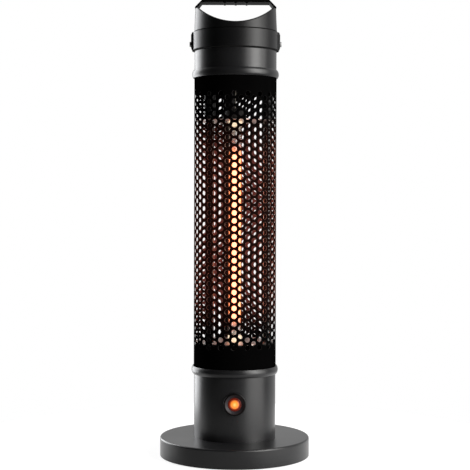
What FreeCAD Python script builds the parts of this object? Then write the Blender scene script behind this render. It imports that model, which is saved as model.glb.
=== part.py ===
import FreeCAD, Part
import math
import os

import Sketcher
from FreeCAD import Placement, Rotation, Vector

# Free-standing infrared tower heater. Millimetres, +Z up, the switch faces -Y,
# the origin is the floor point under the column axis.

doc = FreeCAD.newDocument("infrared_heater")
sheet = doc.addObject("Spreadsheet::Sheet", "dims")

# Driving dimensions, one row of the sheet each.
SIZES = {
    # base
    "base_radius": 106.7,
    "base_top": 27.5,
    "base_rim": 1.0,
    "base_wall": 2.0,
    "base_skin": 2.5,
    "base_edge": 2.5,
    "base_throat": 30.0,
    "plate_bottom": 3.5,
    "plate_thick": 2.0,
    "boss_inset": 12.0,
    "boss_radius": 5.0,
    "foot_inset": 24.0,
    "foot_radius": 10.0,
    "foot_stem": 3.0,
    "weight_inset": 35.0,
    "weight_bore": 33.0,
    "weight_thick": 10.0,
    "plate_screw_radius": 1.6,
    "column_bolt_inset": 11.9,
    "column_bolt_radius": 3.0,
    # tip-over switch
    "tip_radius": 11.0,
    "tip_wall": 2.5,
    "tip_height": 16.0,
    "plunger_radius": 4.0,
    "plunger_lift": 0.3,
    "plunger_travel": 3.2,
    "plunger_collar": 2.0,
    "spring_wire": 0.5,
    # lower housing and its fittings
    "housing_radius": 58.3,
    "housing_wall": 1.2,
    "housing_height": 90.2,
    "flange_width": 21.9,
    "flange_thick": 2.0,
    "switch_lift": 53.9,
    "bezel_radius": 15.8,
    "bezel_lip": 2.2,
    "bezel_rise": 3.4,
    "barrel_inset": 3.0,
    "barrel_length": 20.0,
    "button_inset": 6.4,
    "button_recess": 2.2,
    "button_travel": 2.5,
    "lens_inset": 2.1,
    "gland_lift": 18.5,
    "gland_thread": 8.0,
    "gland_bore": 4.0,
    "gland_flange": 12.0,
    "gland_cap_length": 11.0,
    "seal_thick": 0.4,
    # bead rings, guard and decks
    "bead_height": 11.0,
    "bead_bulge": 1.8,
    "bead_lip": 1.5,
    "bead_spigot": 8.0,
    "ring_wall": 2.2,
    "groove_depth": 7.5,
    "guard_step": 0.5,
    "guard_sheet": 0.8,
    "guard_seat": 3.0,
    "guard_length": 426.3,
    "hole_radius": 3.6,
    "hole_pitch": 11.05,
    "hole_column": 9.52,
    "hole_margin": 39.1,
    "deck_thick": 1.5,
    "rod_inset": 11.0,
    "rod_radius": 6.0,
    "rod_bore": 1.3,
    "rod_thread": 2.0,
    # reflectors and lamp
    "reflector_inset": 3.8,
    "reflector_sheet": 1.0,
    "reflector_lift": 34.5,
    "reflector_drop": 61.8,
    "socket_radius": 15.5,
    "socket_length": 17.0,
    "lamp_cap_radius": 9.8,
    "lamp_cap_show": 7.0,
    "tube_radius": 8.5,
    "tube_wall": 1.2,
    "filament_radius": 4.4,
    "filament_gap_low": 31.0,
    "filament_gap_high": 43.5,
    "wire_radius": 0.9,
    # upper housing, collar and handle
    "crown_step": 0.3,
    "crown_height": 53.9,
    "collar_drop": 26.0,
    "collar_wall": 2.5,
    "cap_lift": 1.2,
    "cap_step": 0.6,
    "cap_taper": 1.5,
    "cap_wall": 2.8,
    "horn_height": 32.6,
    "scoop_excess": 12.3,
    "scoop_lift": 7.7,
    "grip_rise": 15.4,
    "grip_thick": 7.0,
    "grip_width": 30.0,
    "grip_slope": 13.5,
    "grip_step": 1.5,
    "grip_wall": 4.2,
    "grip_round": 0.8,
    "grip_inset": 9.6,
    "bump_pitch": 15.6,
    "lug_rise": 2.2,
    "lug_width": 18.0,
    "lug_bevel": 4.0,
    "side_screw_lift": 9.8,
    # clearances
    "seam_gap": 1.2,
    "drill_excess": 5.0,
    "slip": 0.3,
    "running": 0.08,
    "snug": 0.1,
}

for row, (name, value) in enumerate(SIZES.items(), start=1):
    sheet.set("A%d" % row, name)
    sheet.set("B%d" % row, str(value))
    sheet.setAlias("B%d" % row, name)
doc.recompute()


class Size:
    """A number together with the sheet expression that gives it."""

    def __init__(self, value, text):
        self.value = value
        self.text = text

    def join(self, sign, other, value):
        return Size(value, "(%s %s %s)" % (self.text, sign, other.text))

    def __add__(self, other):
        other = sized(other)
        return self.join("+", other, self.value + other.value)

    def __sub__(self, other):
        other = sized(other)
        return self.join("-", other, self.value - other.value)

    def __mul__(self, other):
        other = sized(other)
        return self.join("*", other, self.value * other.value)

    def __truediv__(self, other):
        other = sized(other)
        return self.join("/", other, self.value / other.value)

    def __radd__(self, other):
        return sized(other) + self

    def __rsub__(self, other):
        return sized(other) - self

    def __rmul__(self, other):
        return sized(other) * self

    def __neg__(self):
        return self * -1.0


def sized(number):
    """A plain number as a Size, a Size as it is."""
    if isinstance(number, Size):
        return number
    return Size(float(number), "(%.6f)" % number)


class Dims:
    """The sheet's rows by name, each as a Size."""

    def __getattr__(self, name):
        return Size(float(sheet.get(name)), "dims." + name)


d = Dims()

UPRIGHT = Rotation()
FLIPPED = Rotation(Vector(1, 0, 0), 180)
FORWARD = Rotation(Vector(1, 0, 0), 90)
BACKWARD = Rotation(Vector(1, 0, 0), -90)
RIGHTWARD = Rotation(Vector(0, 1, 0), 90)
LEFTWARD = Rotation(Vector(0, 1, 0), -90)


def bind(obj, prop, size):
    """Drive a property of an object from the sheet."""
    obj.setExpression(prop, sized(size).text)


def place(obj, at, turn):
    """Put an object at a point given in sizes, turned as stated."""
    spot = [sized(c) for c in at]
    obj.Placement = Placement(Vector(*[c.value for c in spot]), turn)
    for axis, size in zip("xyz", spot):
        bind(obj, "Placement.Base." + axis, size)
    return obj


def rod(name, radius, length, at=(0, 0, 0), turn=UPRIGHT):
    obj = doc.addObject("Part::Cylinder", name)
    bind(obj, "Radius", radius)
    bind(obj, "Height", length)
    return place(obj, at, turn)


def block(name, size, at):
    """A box given by its three sides and its lowest corner."""
    obj = doc.addObject("Part::Box", name)
    for prop, side in zip(("Length", "Width", "Height"), size):
        bind(obj, prop, side)
    return place(obj, at, UPRIGHT)


def hexagon(name, circumradius, height, at, turn=UPRIGHT):
    obj = doc.addObject("Part::Prism", name)
    obj.Polygon = 6
    bind(obj, "Circumradius", circumradius)
    bind(obj, "Height", height)
    return place(obj, at, turn)


def joined(name, shapes):
    obj = doc.addObject("Part::MultiFuse", name)
    obj.Shapes = shapes
    obj.Refine = True
    return obj


def grouped(name, shapes):
    """Separate solids that make one node, such as a set of screws."""
    obj = doc.addObject("Part::Compound", name)
    obj.Links = shapes
    return obj


def cut(name, base, tools):
    obj = doc.addObject("Part::Cut", name)
    obj.Base = base
    obj.Tool = tools[0] if len(tools) == 1 else grouped(name + "_tools", tools)
    return obj


def arc_edge(start, end, radius, convex):
    """The minor arc from start to end, centre on the left if convex, else on the right."""
    chord = end - start
    middle = (start + end) * 0.5
    left = Vector(-chord.y, chord.x, 0).normalize()
    reach = math.sqrt(max(radius ** 2 - (chord.Length / 2) ** 2, 0.0))
    centre = middle + left * (reach if convex else -reach)
    first, last = (start, end) if convex else (end, start)
    circle = Part.Circle(centre, Vector(0, 0, 1), radius)
    angles = [math.atan2((p - centre).y, (p - centre).x) for p in (first, last)]
    return Part.ArcOfCircle(circle, angles[0], angles[1])


def outlined(body, name, plane_role, outline):
    """A closed sketch on one of the body's origin planes, fully driven by sizes.

    Each corner is (across, up), or (across, up, radius, convex) where an arc leads to it.
    """
    sketch = body.newObject("Sketcher::SketchObject", name)
    planes = [o for o in body.Origin.OriginFeatures if o.Role == plane_role]
    sketch.AttachmentSupport = [(planes[0], "")]
    sketch.MapMode = "FlatFace"
    corners = [Vector(sized(c[0]).value, sized(c[1]).value, 0) for c in outline]
    count = len(outline)
    begins, ends = [], []
    for i in range(count):
        target = outline[(i + 1) % count]
        start, end = corners[i], corners[(i + 1) % count]
        if len(target) == 4:
            sketch.addGeometry(arc_edge(start, end, sized(target[2]).value, target[3]))
            begins.append(1 if target[3] else 2)
            ends.append(2 if target[3] else 1)
        else:
            sketch.addGeometry(Part.LineSegment(start, end))
            begins.append(1)
            ends.append(2)
    for i in range(count):
        following = (i + 1) % count
        sketch.addConstraint(
            Sketcher.Constraint("Coincident", i, ends[i], following, begins[following])
        )
    for i in range(count):
        for kind, line, size in (("X", -2, outline[i][0]), ("Y", -1, outline[i][1])):
            size = sized(size)
            if size.value == 0:
                sketch.addConstraint(
                    Sketcher.Constraint("PointOnObject", i, begins[i], line)
                )
                continue
            index = sketch.addConstraint(
                Sketcher.Constraint("Distance" + kind, -1, 1, i, begins[i], size.value)
            )
            bind(sketch, "Constraints[%d]" % index, size)
        if len(outline[(i + 1) % count]) == 4:
            radius = sized(outline[(i + 1) % count][2])
            index = sketch.addConstraint(Sketcher.Constraint("Radius", i, radius.value))
            bind(sketch, "Constraints[%d]" % index, radius)
    return sketch


def turned(name, outline, at=(0, 0, 0), turn=UPRIGHT):
    """A lathe-turned body: the outline of (radius, height) corners runs counter-clockwise."""
    body = doc.addObject("PartDesign::Body", name)
    sketch = outlined(body, name + "_section", "XZ_Plane", outline)
    revolution = body.newObject("PartDesign::Revolution", name + "_turn")
    revolution.Profile = sketch
    revolution.ReferenceAxis = (sketch, ["V_Axis"])
    revolution.Angle = 360
    body.Tip = revolution
    return place(body, at, turn)


def padded(name, outline, width):
    """A body of constant width along Y: the outline of (x, z) corners, padded both ways."""
    body = doc.addObject("PartDesign::Body", name)
    sketch = outlined(body, name + "_section", "XZ_Plane", outline)
    pad = body.newObject("PartDesign::Pad", name + "_pad")
    pad.Profile = sketch
    pad.SideType = "Symmetric"
    bind(pad, "Length", width)
    body.Tip = pad
    return body


def tube(name, outer, inner, low, high, at=(0, 0, 0), turn=UPRIGHT):
    return turned(name, [(inner, low), (outer, low), (outer, high), (inner, high)], at, turn)


def around(circle, degrees):
    """X and Y of a point on a circle round the column; 0 is the front, growing to the right."""
    angle = math.radians(degrees)
    return circle * math.sin(angle), circle * -math.cos(angle)


def solid_of(name, shape):
    """A shape that no feature gives, kept as a plain feature."""
    obj = doc.addObject("Part::Feature", name)
    obj.Shape = shape
    obj.Placement = Placement()
    return obj


def coil_shape(radius, wire, low, high, turns):
    """A round-wire helix about Z as one pipe, each quarter turn laid as two arcs."""
    climb = (high - low) / (turns * 2 * math.pi)
    steps = int(turns * 4)

    def point(a):
        return Vector(radius * math.cos(a), radius * math.sin(a), low + climb * a)

    def heading(a):
        return Vector(-radius * math.sin(a), radius * math.cos(a), climb).normalize()

    def arc(start, apex, end):
        base = (start + end) * 0.5
        half = (end - start).Length / 2
        lean = half / (apex - start).Length
        return Part.Arc(start, base + (apex - base) * (lean / (1 + lean)), end).toShape()

    edges = []
    for i in range(steps):
        a, b = i * math.pi / 2, (i + 1) * math.pi / 2
        start, end, out, back = point(a), point(b), heading(a), heading(b)
        span = end - start
        both = out + back
        square = both.dot(both) - 4
        lift = span.dot(both)
        reach = (lift - math.sqrt(lift ** 2 - square * span.dot(span))) / square
        first, last = start + out * reach, end - back * reach
        middle = (first + last) * 0.5
        edges += [arc(start, first, middle), arc(middle, last, end)]
    path = Part.Wire(edges)
    rim = Part.Wire(Part.Circle(point(0), heading(0), wire).toShape())
    return path.makePipeShell([rim], True, False)


def wire_shape(corners, radius, bend):
    """A round lead along a path of straight runs joined by arcs."""
    points = [Vector(*c) for c in corners]
    edges = []
    start = points[0]
    for before, corner, after in zip(points, points[1:], points[2:]):
        into = (corner - before).normalize()
        out = (after - corner).normalize()
        enter, leave = corner - into * bend, corner + out * bend
        centre = enter + out * bend
        middle = centre + (corner - centre).normalize() * bend
        edges += [Part.LineSegment(start, enter).toShape(), Part.Arc(enter, middle, leave).toShape()]
        start = leave
    edges.append(Part.LineSegment(start, points[-1]).toShape())
    rim = Part.Wire(Part.Circle(points[0], points[1] - points[0], radius).toShape())
    return Part.Wire(edges).makePipeShell([rim], True, False)


nodes = []


def node(obj, name):
    """Record a finished object as one node of the assembly."""
    obj.Label = name
    nodes.append((name, obj))
    return obj


# Heights and radii that follow from the driving dimensions, from the floor up.

boss_circle = d.base_radius - d.boss_inset
foot_circle = d.base_radius - d.foot_inset
weight_radius = d.base_radius - d.weight_inset
column_bolt_circle = d.housing_radius - d.column_bolt_inset
tip_roof = d.plate_bottom + d.plate_thick + d.tip_height
housing_top = d.base_top + d.housing_height
flange_bore = d.housing_radius - d.flange_width
switch_height = d.base_top + d.switch_lift
barrel_radius = d.bezel_radius - d.barrel_inset
button_radius = d.bezel_radius - d.button_inset
lens_radius = button_radius - d.lens_inset
gland_height = d.base_top + d.gland_lift
guard_radius = d.housing_radius + d.guard_step
guard_inner = guard_radius - d.guard_sheet
guard_foot = housing_top + d.guard_seat
guard_top = guard_foot + d.guard_length
deck_low = guard_foot + d.groove_depth - d.deck_thick
deck_low_top = deck_low + d.deck_thick
deck_high = guard_top - d.groove_depth
deck_high_top = deck_high + d.deck_thick
rod_circle = guard_radius - d.rod_inset
reflector_radius = guard_radius - d.reflector_inset
reflector_low = deck_low_top + d.reflector_lift
reflector_high = deck_high - d.reflector_drop
filament_low = reflector_low + d.reflector_sheet + d.filament_gap_low
filament_high = reflector_high - d.filament_gap_high
upper_seat = guard_top + d.guard_seat
crown_radius = d.housing_radius + d.crown_step
crown_top = upper_seat + d.crown_height
collar_bottom = crown_top - d.collar_drop
side_screw_height = collar_bottom + d.side_screw_lift
cap_bottom = crown_top + d.cap_lift
cap_radius = crown_radius + d.cap_step
cap_neck = cap_radius - d.cap_taper
horn_top = cap_bottom + d.horn_height
scoop_radius = cap_neck + d.scoop_excess
scoop_low = cap_bottom + d.scoop_lift
grip_flat = cap_neck - d.grip_slope
grip_shoulder = horn_top + d.grip_step
grip_top = horn_top + d.grip_rise


# Base: a drawn steel cover with a ballast ring under its top and a plate that closes it.

skin_low = d.base_top - d.base_skin
plate_top = d.plate_bottom + d.plate_thick
inner_wall = d.base_radius - d.base_wall
cover = turned("base_cover_form", [
    (inner_wall, d.base_rim),
    (d.base_radius, d.base_rim),
    (d.base_radius, d.base_top - d.base_edge),
    (d.base_radius - d.base_edge, d.base_top, d.base_edge, True),
    (d.base_throat, d.base_top),
    (d.base_throat, skin_low),
    (inner_wall, skin_low),
])
QUARTERS = (45, 135, 225, 315)
FOOT_ANGLES = (22.5, 112.5, 202.5, 292.5)
bosses, pilots, plate_screws, plate_holes = [], [], [], []
for i, angle in enumerate(QUARTERS):
    x, y = around(boss_circle, angle)
    bosses.append(rod("boss_%d" % i, d.boss_radius, skin_low - plate_top, (x, y, plate_top)))
    pilots.append(rod("pilot_%d" % i, d.plate_screw_radius + d.snug, 10, (x, y, plate_top)))
    plate_holes.append(
        rod("plate_hole_%d" % i, d.plate_screw_radius + d.slip, d.plate_thick, (x, y, d.plate_bottom))
    )
    plate_screws.append(joined("plate_screw_%d" % i, [
        rod("plate_screw_head_%d" % i, 3.4, 1.8, (x, y, d.plate_bottom - 1.8)),
        rod("plate_screw_shank_%d" % i, d.plate_screw_radius, d.plate_thick + 8.5, (x, y, d.plate_bottom)),
    ]))
bolt_holes, flange_holes, weight_holes, bolts, nuts = [], [], [], [], []
weight_low = skin_low - d.weight_thick
flange_top = d.base_top + d.flange_thick
bolt_clear = d.column_bolt_radius + d.slip
for i, angle in enumerate(QUARTERS):
    x, y = around(column_bolt_circle, angle)
    bolt_holes.append(rod("bolt_hole_%d" % i, bolt_clear, d.base_skin, (x, y, skin_low)))
    flange_holes.append(rod("flange_hole_%d" % i, bolt_clear, d.flange_thick, (x, y, d.base_top)))
    weight_holes.append(rod("weight_hole_%d" % i, bolt_clear, d.weight_thick, (x, y, weight_low)))
    bolts.append(joined("bolt_%d" % i, [
        hexagon("bolt_head_%d" % i, d.column_bolt_radius * 1.9, 4, (x, y, weight_low - 4)),
        rod("bolt_shank_%d" % i, d.column_bolt_radius, flange_top - weight_low + 7, (x, y, weight_low)),
    ]))
    nut_form = hexagon("nut_form_%d" % i, d.column_bolt_radius * 1.9, 5, (x, y, flange_top))
    nut_bore = rod("nut_bore_%d" % i, d.column_bolt_radius + d.snug, 5, (x, y, flange_top))
    nuts.append(cut("nut_%d" % i, nut_form, [nut_bore]))
node(cut("base_cover", joined("base_cover_solid", [cover] + bosses), pilots + bolt_holes), "base_cover")
weight_form = tube("weight_form", weight_radius, d.weight_bore, weight_low, skin_low)
node(cut("base_weight", weight_form, weight_holes), "base_weight")
feet, foot_holes = [], []
for i, angle in enumerate(FOOT_ANGLES):
    x, y = around(foot_circle, angle)
    foot_holes.append(
        rod("foot_hole_%d" % i, d.foot_stem + d.snug, d.plate_thick, (x, y, d.plate_bottom))
    )
    feet.append(turned("foot_%d" % i, [
        (0, 0),
        (d.foot_radius - 1, 0),
        (d.foot_radius, d.plate_bottom),
        (d.foot_stem, d.plate_bottom),
        (d.foot_stem, plate_top + 2),
        (0, plate_top + 2),
    ], (x, y, 0)))
plate_form = tube("plate_form", inner_wall - d.slip, d.plunger_radius + d.running, d.plate_bottom, plate_top)
node(cut("base_plate", plate_form, plate_holes + foot_holes), "base_plate")
node(grouped("base_feet", feet), "base_feet")
node(grouped("base_plate_screws", plate_screws), "base_plate_screws")
node(grouped("column_bolts", bolts), "column_bolts")
node(grouped("column_nuts", nuts), "column_nuts")

# Tip-over switch: a sprung plunger in the middle of the base that the floor holds in.

stop_low = plate_top + d.plunger_travel + d.slip
stop_high = stop_low + d.plunger_collar
tip_bore = d.tip_radius - d.tip_wall
tip_ceiling = tip_roof - 2
node(turned("tip_switch_body", [
    (tip_bore, plate_top),
    (d.tip_radius, plate_top),
    (d.tip_radius, tip_roof),
    (0, tip_roof),
    (0, tip_ceiling),
    (tip_bore, tip_ceiling),
]), "tip_switch_body")
node(turned("tip_plunger", [
    (0, d.plunger_lift),
    (d.plunger_radius - 1, d.plunger_lift),
    (d.plunger_radius, d.plunger_lift + 1),
    (d.plunger_radius, stop_low),
    (tip_bore - d.slip, stop_low),
    (tip_bore - d.slip, stop_high),
    (0, stop_high),
]), "tip_plunger")
node(solid_of("tip_spring", coil_shape(
    tip_bore.value * 0.65, d.spring_wire.value,
    stop_high.value + d.spring_wire.value + 0.15, tip_ceiling.value - d.spring_wire.value - 0.15, 4,
)), "tip_spring")
node(grouped("tip_terminals", [
    block("tip_terminal_%d" % i, (4, 0.8, 6), (side * 5 - 2, -0.4, tip_roof))
    for i, side in enumerate((-1, 1))
]), "tip_terminals")

# Lower housing: a steel tube with an inward flange that the four column bolts hold down.

housing_inner = d.housing_radius - d.housing_wall
housing_form = turned("housing_form", [
    (flange_bore, d.base_top),
    (d.housing_radius, d.base_top),
    (d.housing_radius, housing_top),
    (housing_inner, housing_top),
    (housing_inner, flange_top),
    (flange_bore, flange_top),
])
switch_at = (0, 0, switch_height)
gland_at = (0, 0, gland_height)
node(cut("lower_housing", housing_form, flange_holes + [
    rod("switch_hole", barrel_radius + d.slip, d.housing_radius + d.drill_excess, switch_at, FORWARD),
    rod("gland_hole", d.gland_thread + d.slip, d.housing_radius + d.drill_excess, gland_at, BACKWARD),
]), "lower_housing")

# Push switch in the front: seal, bezel with its threaded barrel, lock nut, sprung button and lens.

seal_front = d.housing_radius + d.seal_thick
bezel_front = seal_front + d.bezel_rise
barrel_back = seal_front - d.barrel_length
button_front = bezel_front - d.button_recess
collar_back = barrel_back + d.button_travel + 7
seal_reach = d.bezel_radius + d.drill_excess
switch_seal_form = tube(
    "switch_seal_form", d.bezel_radius, barrel_radius + d.slip,
    seal_front - 4, seal_front, switch_at, FORWARD,
)
node(cut("switch_seal", switch_seal_form, [
    rod("switch_seal_tool", d.housing_radius, seal_reach * 2, (0, 0, switch_height - seal_reach)),
]), "switch_seal")
barrel_bore = button_radius + d.running
stop_bore = barrel_bore + 1.2
node(turned("switch_bezel", [
    (stop_bore, barrel_back),
    (barrel_radius, barrel_back),
    (barrel_radius, seal_front),
    (d.bezel_radius, seal_front),
    (d.bezel_radius, bezel_front - 1.2),
    (d.bezel_radius - 1.2, bezel_front, 1.2, True),
    ((d.bezel_radius - d.bezel_lip), bezel_front),
    ((d.bezel_radius - d.bezel_lip) - 0.6, bezel_front - 0.8),
    (barrel_bore + 0.3, button_front - 0.6),
    (barrel_bore, button_front - 1),
    (barrel_bore, collar_back + 1.8),
    (stop_bore, collar_back + 1.8),
], switch_at, FORWARD), "switch_bezel")
nut_front = d.housing_radius - 4.2
switch_nut_at = (0, 4 - nut_front, switch_height)
node(cut("switch_nut", hexagon("switch_nut_form", d.bezel_radius + 1, 4, switch_nut_at, FORWARD), [
    rod("switch_nut_bore", barrel_radius + d.snug, 4, switch_nut_at, FORWARD),
]), "switch_nut")
node(turned("switch_button", [
    (0, collar_back - 5),
    (3, collar_back - 5),
    (3, collar_back),
    (stop_bore - d.running, collar_back),
    (stop_bore - d.running, collar_back + 1.5),
    (button_radius, collar_back + 1.5),
    (button_radius, button_front - 0.8),
    (button_radius - 0.8, button_front, 0.8, True),
    (lens_radius, button_front),
    (lens_radius, button_front - 2),
    (0, button_front - 2),
], switch_at, FORWARD), "switch_button")
lens_edge = lens_radius - d.snug
lens_dome = (lens_edge * lens_edge + 2.56) / 3.2
node(turned("switch_lens", [
    (0, button_front - 2),
    (lens_edge, button_front - 2),
    (lens_edge, button_front - 0.6),
    (0, button_front + 1, lens_dome, True),
], switch_at, FORWARD), "switch_lens")
node(turned("switch_body", [
    (0, barrel_back - 14),
    (barrel_radius - 0.5, barrel_back - 14),
    (barrel_radius - 0.5, barrel_back),
    (3.4, barrel_back),
    (3.4, barrel_back - 6),
    (0, barrel_back - 6),
], switch_at, FORWARD), "switch_body")
coil = coil_shape(
    button_radius.value * 0.62, d.spring_wire.value,
    barrel_back.value + d.spring_wire.value + 0.15, collar_back.value - d.spring_wire.value - 0.15, 4,
)
coil.Placement = Placement(Vector(0, 0, switch_height.value), FORWARD)
node(solid_of("switch_spring", Part.Solid(coil.Solids[0].copy())), "switch_spring")
blade_back = barrel_back - 14 - 7
node(grouped("switch_terminals", [
    block("switch_terminal_%d" % i, (4, 7, 0.8), (side * 5 - 2, -blade_back - 7, switch_height - 0.4))
    for i, side in enumerate((-1, 1))
]), "switch_terminals")

# Cord inlet at the back: seal, gland body with a bore for the cord, clamping cap and lock nut.

gland_back = d.housing_radius + d.seal_thick
gland_shoulder = gland_back + 5
gland_end = gland_shoulder + d.gland_cap_length
gland_reach = d.gland_flange + d.drill_excess
gland_seal_form = tube(
    "gland_seal_form", d.gland_flange, d.gland_thread + d.slip,
    gland_back - 3, gland_back, gland_at, BACKWARD,
)
node(cut("gland_seal", gland_seal_form, [
    rod("gland_seal_tool", d.housing_radius, gland_reach * 2, (0, 0, gland_height - gland_reach)),
]), "gland_seal")
gland_barrel = tube(
    "gland_barrel", d.gland_thread, d.gland_bore, gland_back - 11, gland_back, gland_at, BACKWARD,
)
gland_hex = cut("gland_hex", hexagon(
    "gland_hex_form", d.gland_flange, 5, (0, gland_back, gland_height), BACKWARD,
), [rod("gland_hex_bore", d.gland_bore, 5, (0, gland_back, gland_height), BACKWARD)])
node(joined("gland_body", [gland_barrel, gland_hex]), "gland_body")
node(turned("gland_cap", [
    (d.gland_bore, gland_shoulder),
    (d.gland_flange - 1.6, gland_shoulder),
    (d.gland_flange - 1.6, gland_end - 5),
    (d.gland_flange - 6.6, gland_end, 5, True),
    (d.gland_bore, gland_end),
], gland_at, BACKWARD), "gland_cap")
gland_nut_at = (0, d.housing_radius - 6.6, gland_height)
node(cut("gland_nut", hexagon("gland_nut_form", d.gland_flange - 0.5, 4, gland_nut_at, BACKWARD), [
    rod("gland_nut_bore", d.gland_thread + d.snug, 4, gland_nut_at, BACKWARD),
]), "gland_nut")

# Bead rings: each stands on a housing edge, drops a spigot into it and holds an end of the guard.

bead_arc = (d.bead_height * d.bead_height / 4 + d.bead_bulge * d.bead_bulge) / (d.bead_bulge * 2)


def bead_ring(name, foot_radius, seat, turn):
    spigot = foot_radius - d.housing_wall - d.snug
    inner = spigot - d.ring_wall
    upright = guard_inner - d.slip
    return turned(name, [
        (inner, -d.bead_spigot),
        (spigot, -d.bead_spigot),
        (spigot, 0),
        (foot_radius + d.bead_lip, 0),
        (guard_radius + d.bead_lip, d.bead_height, bead_arc, True),
        (guard_radius + d.snug, d.bead_height),
        (guard_radius + d.snug, d.guard_seat),
        (upright, d.guard_seat),
        (upright, d.guard_seat + d.groove_depth - d.deck_thick),
        (inner, d.guard_seat + d.groove_depth - d.deck_thick),
    ], (0, 0, seat), turn)


node(bead_ring("lower_bead", d.housing_radius, housing_top, UPRIGHT), "lower_bead")
node(bead_ring("upper_bead", crown_radius, upper_seat, FLIPPED), "upper_bead")

# Guard: a rolled sheet with columns of round holes, alternate columns half a pitch apart, and a
# plain strip at the left where its ends meet. One slice with two columns is drilled; its faces are
# turned round the axis as often as they fit, and the strip's faces are added before sewing.

GUARD_PHASE = -1.2
GUARD_HEAD = 28.0
COLUMNS_LEFT = 8


def guard_shape():
    radius, sheet_thick = guard_radius.value, d.guard_sheet.value
    foot, length = guard_foot.value, d.guard_length.value
    first = foot + d.hole_margin.value
    rows = int((length - d.hole_margin.value - GUARD_HEAD) / d.hole_pitch.value) + 1
    step = math.degrees(d.hole_column.value / (radius - sheet_thick / 2))
    turns = int((360 / step - 0.5) / 2)
    start_angle = GUARD_PHASE - 90 - step * (COLUMNS_LEFT + 0.5)
    up = Vector(0, 0, 1)
    low = Vector(0, 0, foot)

    def tube_slice(width):
        outer = Part.makeCylinder(radius, length, low, up, width)
        return outer.cut(Part.makeCylinder(radius - sheet_thick, length, low, up, width))

    def skin(piece, angle):
        """The faces of a slice without its two cut sides, turned into place."""
        turned = []
        for face in piece.Faces:
            if isinstance(face.Surface, Part.Plane) and abs(face.Surface.Axis.z) < 0.5:
                continue
            copy = face.copy()
            copy.rotate(Vector(), up, start_angle + angle)
            turned.append(copy)
        return turned

    drills = []
    for column in range(2):
        angle = math.radians(step * (column + 0.5))
        out = Vector(math.cos(angle), math.sin(angle), 0)
        for row in range(rows - column):
            height = first + d.hole_pitch.value * (row + 0.5 * column)
            start = Vector(0, 0, height) + out * (radius - 3 * sheet_thick)
            drills.append(Part.makeCylinder(d.hole_radius.value, 5 * sheet_thick, start, out))
    drilled = tube_slice(2 * step).cut(Part.makeCompound(drills))
    faces = skin(tube_slice(360 - 2 * step * turns), 2 * step * turns)
    for turn in range(turns):
        faces += skin(drilled, 2 * step * turn)
    shell = Part.makeShell(faces)
    shell.sewShape()
    return Part.makeSolid(shell)


node(solid_of("guard", guard_shape()), "guard")

# Chassis inside the guard: two decks drawn together by three hollow tie rods.

ROD_ANGLES = (-48, 72, 192)
deck_radius = guard_inner - d.slip
lead_hole = d.wire_radius + 2
sleeve = d.rod_radius + d.snug
spacer_radius = d.rod_radius + 2
low_disc_top = reflector_low + d.reflector_sheet
high_disc_top = reflector_high + d.reflector_sheet
rods, rod_nuts, deck_holes, disc_holes = [], [], {"low": [], "high": []}, {"low": [], "high": []}
low_spacers, high_spacers, clips = [], [], []
for i, angle in enumerate(ROD_ANGLES):
    x, y = around(rod_circle, angle)
    rods.append(turned("tie_rod_%d" % i, [
        (d.rod_bore, deck_low - 6),
        (d.rod_thread, deck_low - 6),
        (d.rod_thread, deck_low_top),
        (d.rod_radius, deck_low_top),
        (d.rod_radius, deck_high),
        (d.rod_thread, deck_high),
        (d.rod_thread, deck_high_top + 6),
        (d.rod_bore, deck_high_top + 6),
    ], (x, y, 0)))
    for side, low in (("low", deck_low - 3.5), ("high", deck_high_top)):
        tag = "%s_%d" % (side, i)
        nut_form = hexagon("rod_nut_form_" + tag, 4.1, 3.5, (x, y, low))
        nut_bore = rod("rod_nut_bore_" + tag, d.rod_thread + d.snug, 3.5, (x, y, low))
        rod_nuts.append(cut("rod_nut_" + tag, nut_form, [nut_bore]))
    for side, deck, disc in (("low", deck_low, reflector_low), ("high", deck_high, reflector_high)):
        tag = "%s_%d" % (side, i)
        deck_holes[side].append(rod("deck_hole_" + tag, d.rod_thread + d.snug, d.deck_thick, (x, y, deck)))
        disc_holes[side].append(rod("disc_hole_" + tag, sleeve, d.reflector_sheet, (x, y, disc)))
    spot = (x, y, 0)
    low_spacers.append(tube("low_spacer_%d" % i, spacer_radius, sleeve, deck_low_top, reflector_low, spot))
    high_spacers.append(tube("high_spacer_%d" % i, spacer_radius, sleeve, high_disc_top, deck_high, spot))
    clips.append(tube("low_clip_%d" % i, spacer_radius, sleeve, low_disc_top, low_disc_top + 1, spot))
    clips.append(tube("high_clip_%d" % i, spacer_radius, sleeve, reflector_high - 1, reflector_high, spot))
lower_deck_form = tube("lower_deck_form", deck_radius, lead_hole, deck_low, deck_low_top)
node(cut("lower_deck", lower_deck_form, deck_holes["low"]), "lower_deck")
upper_deck_form = tube("upper_deck_form", deck_radius, lead_hole, deck_high, deck_high_top)
node(cut("upper_deck", upper_deck_form, deck_holes["high"]), "upper_deck")
node(grouped("tie_rods", rods), "tie_rods")
node(grouped("tie_rod_nuts", rod_nuts), "tie_rod_nuts")
node(grouped("lower_spacers", low_spacers), "lower_spacers")
node(grouped("upper_spacers", high_spacers), "upper_spacers")
node(grouped("rod_clips", clips), "rod_clips")

# Reflector discs with the ceramic sockets that hold the two lamp ends.

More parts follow.
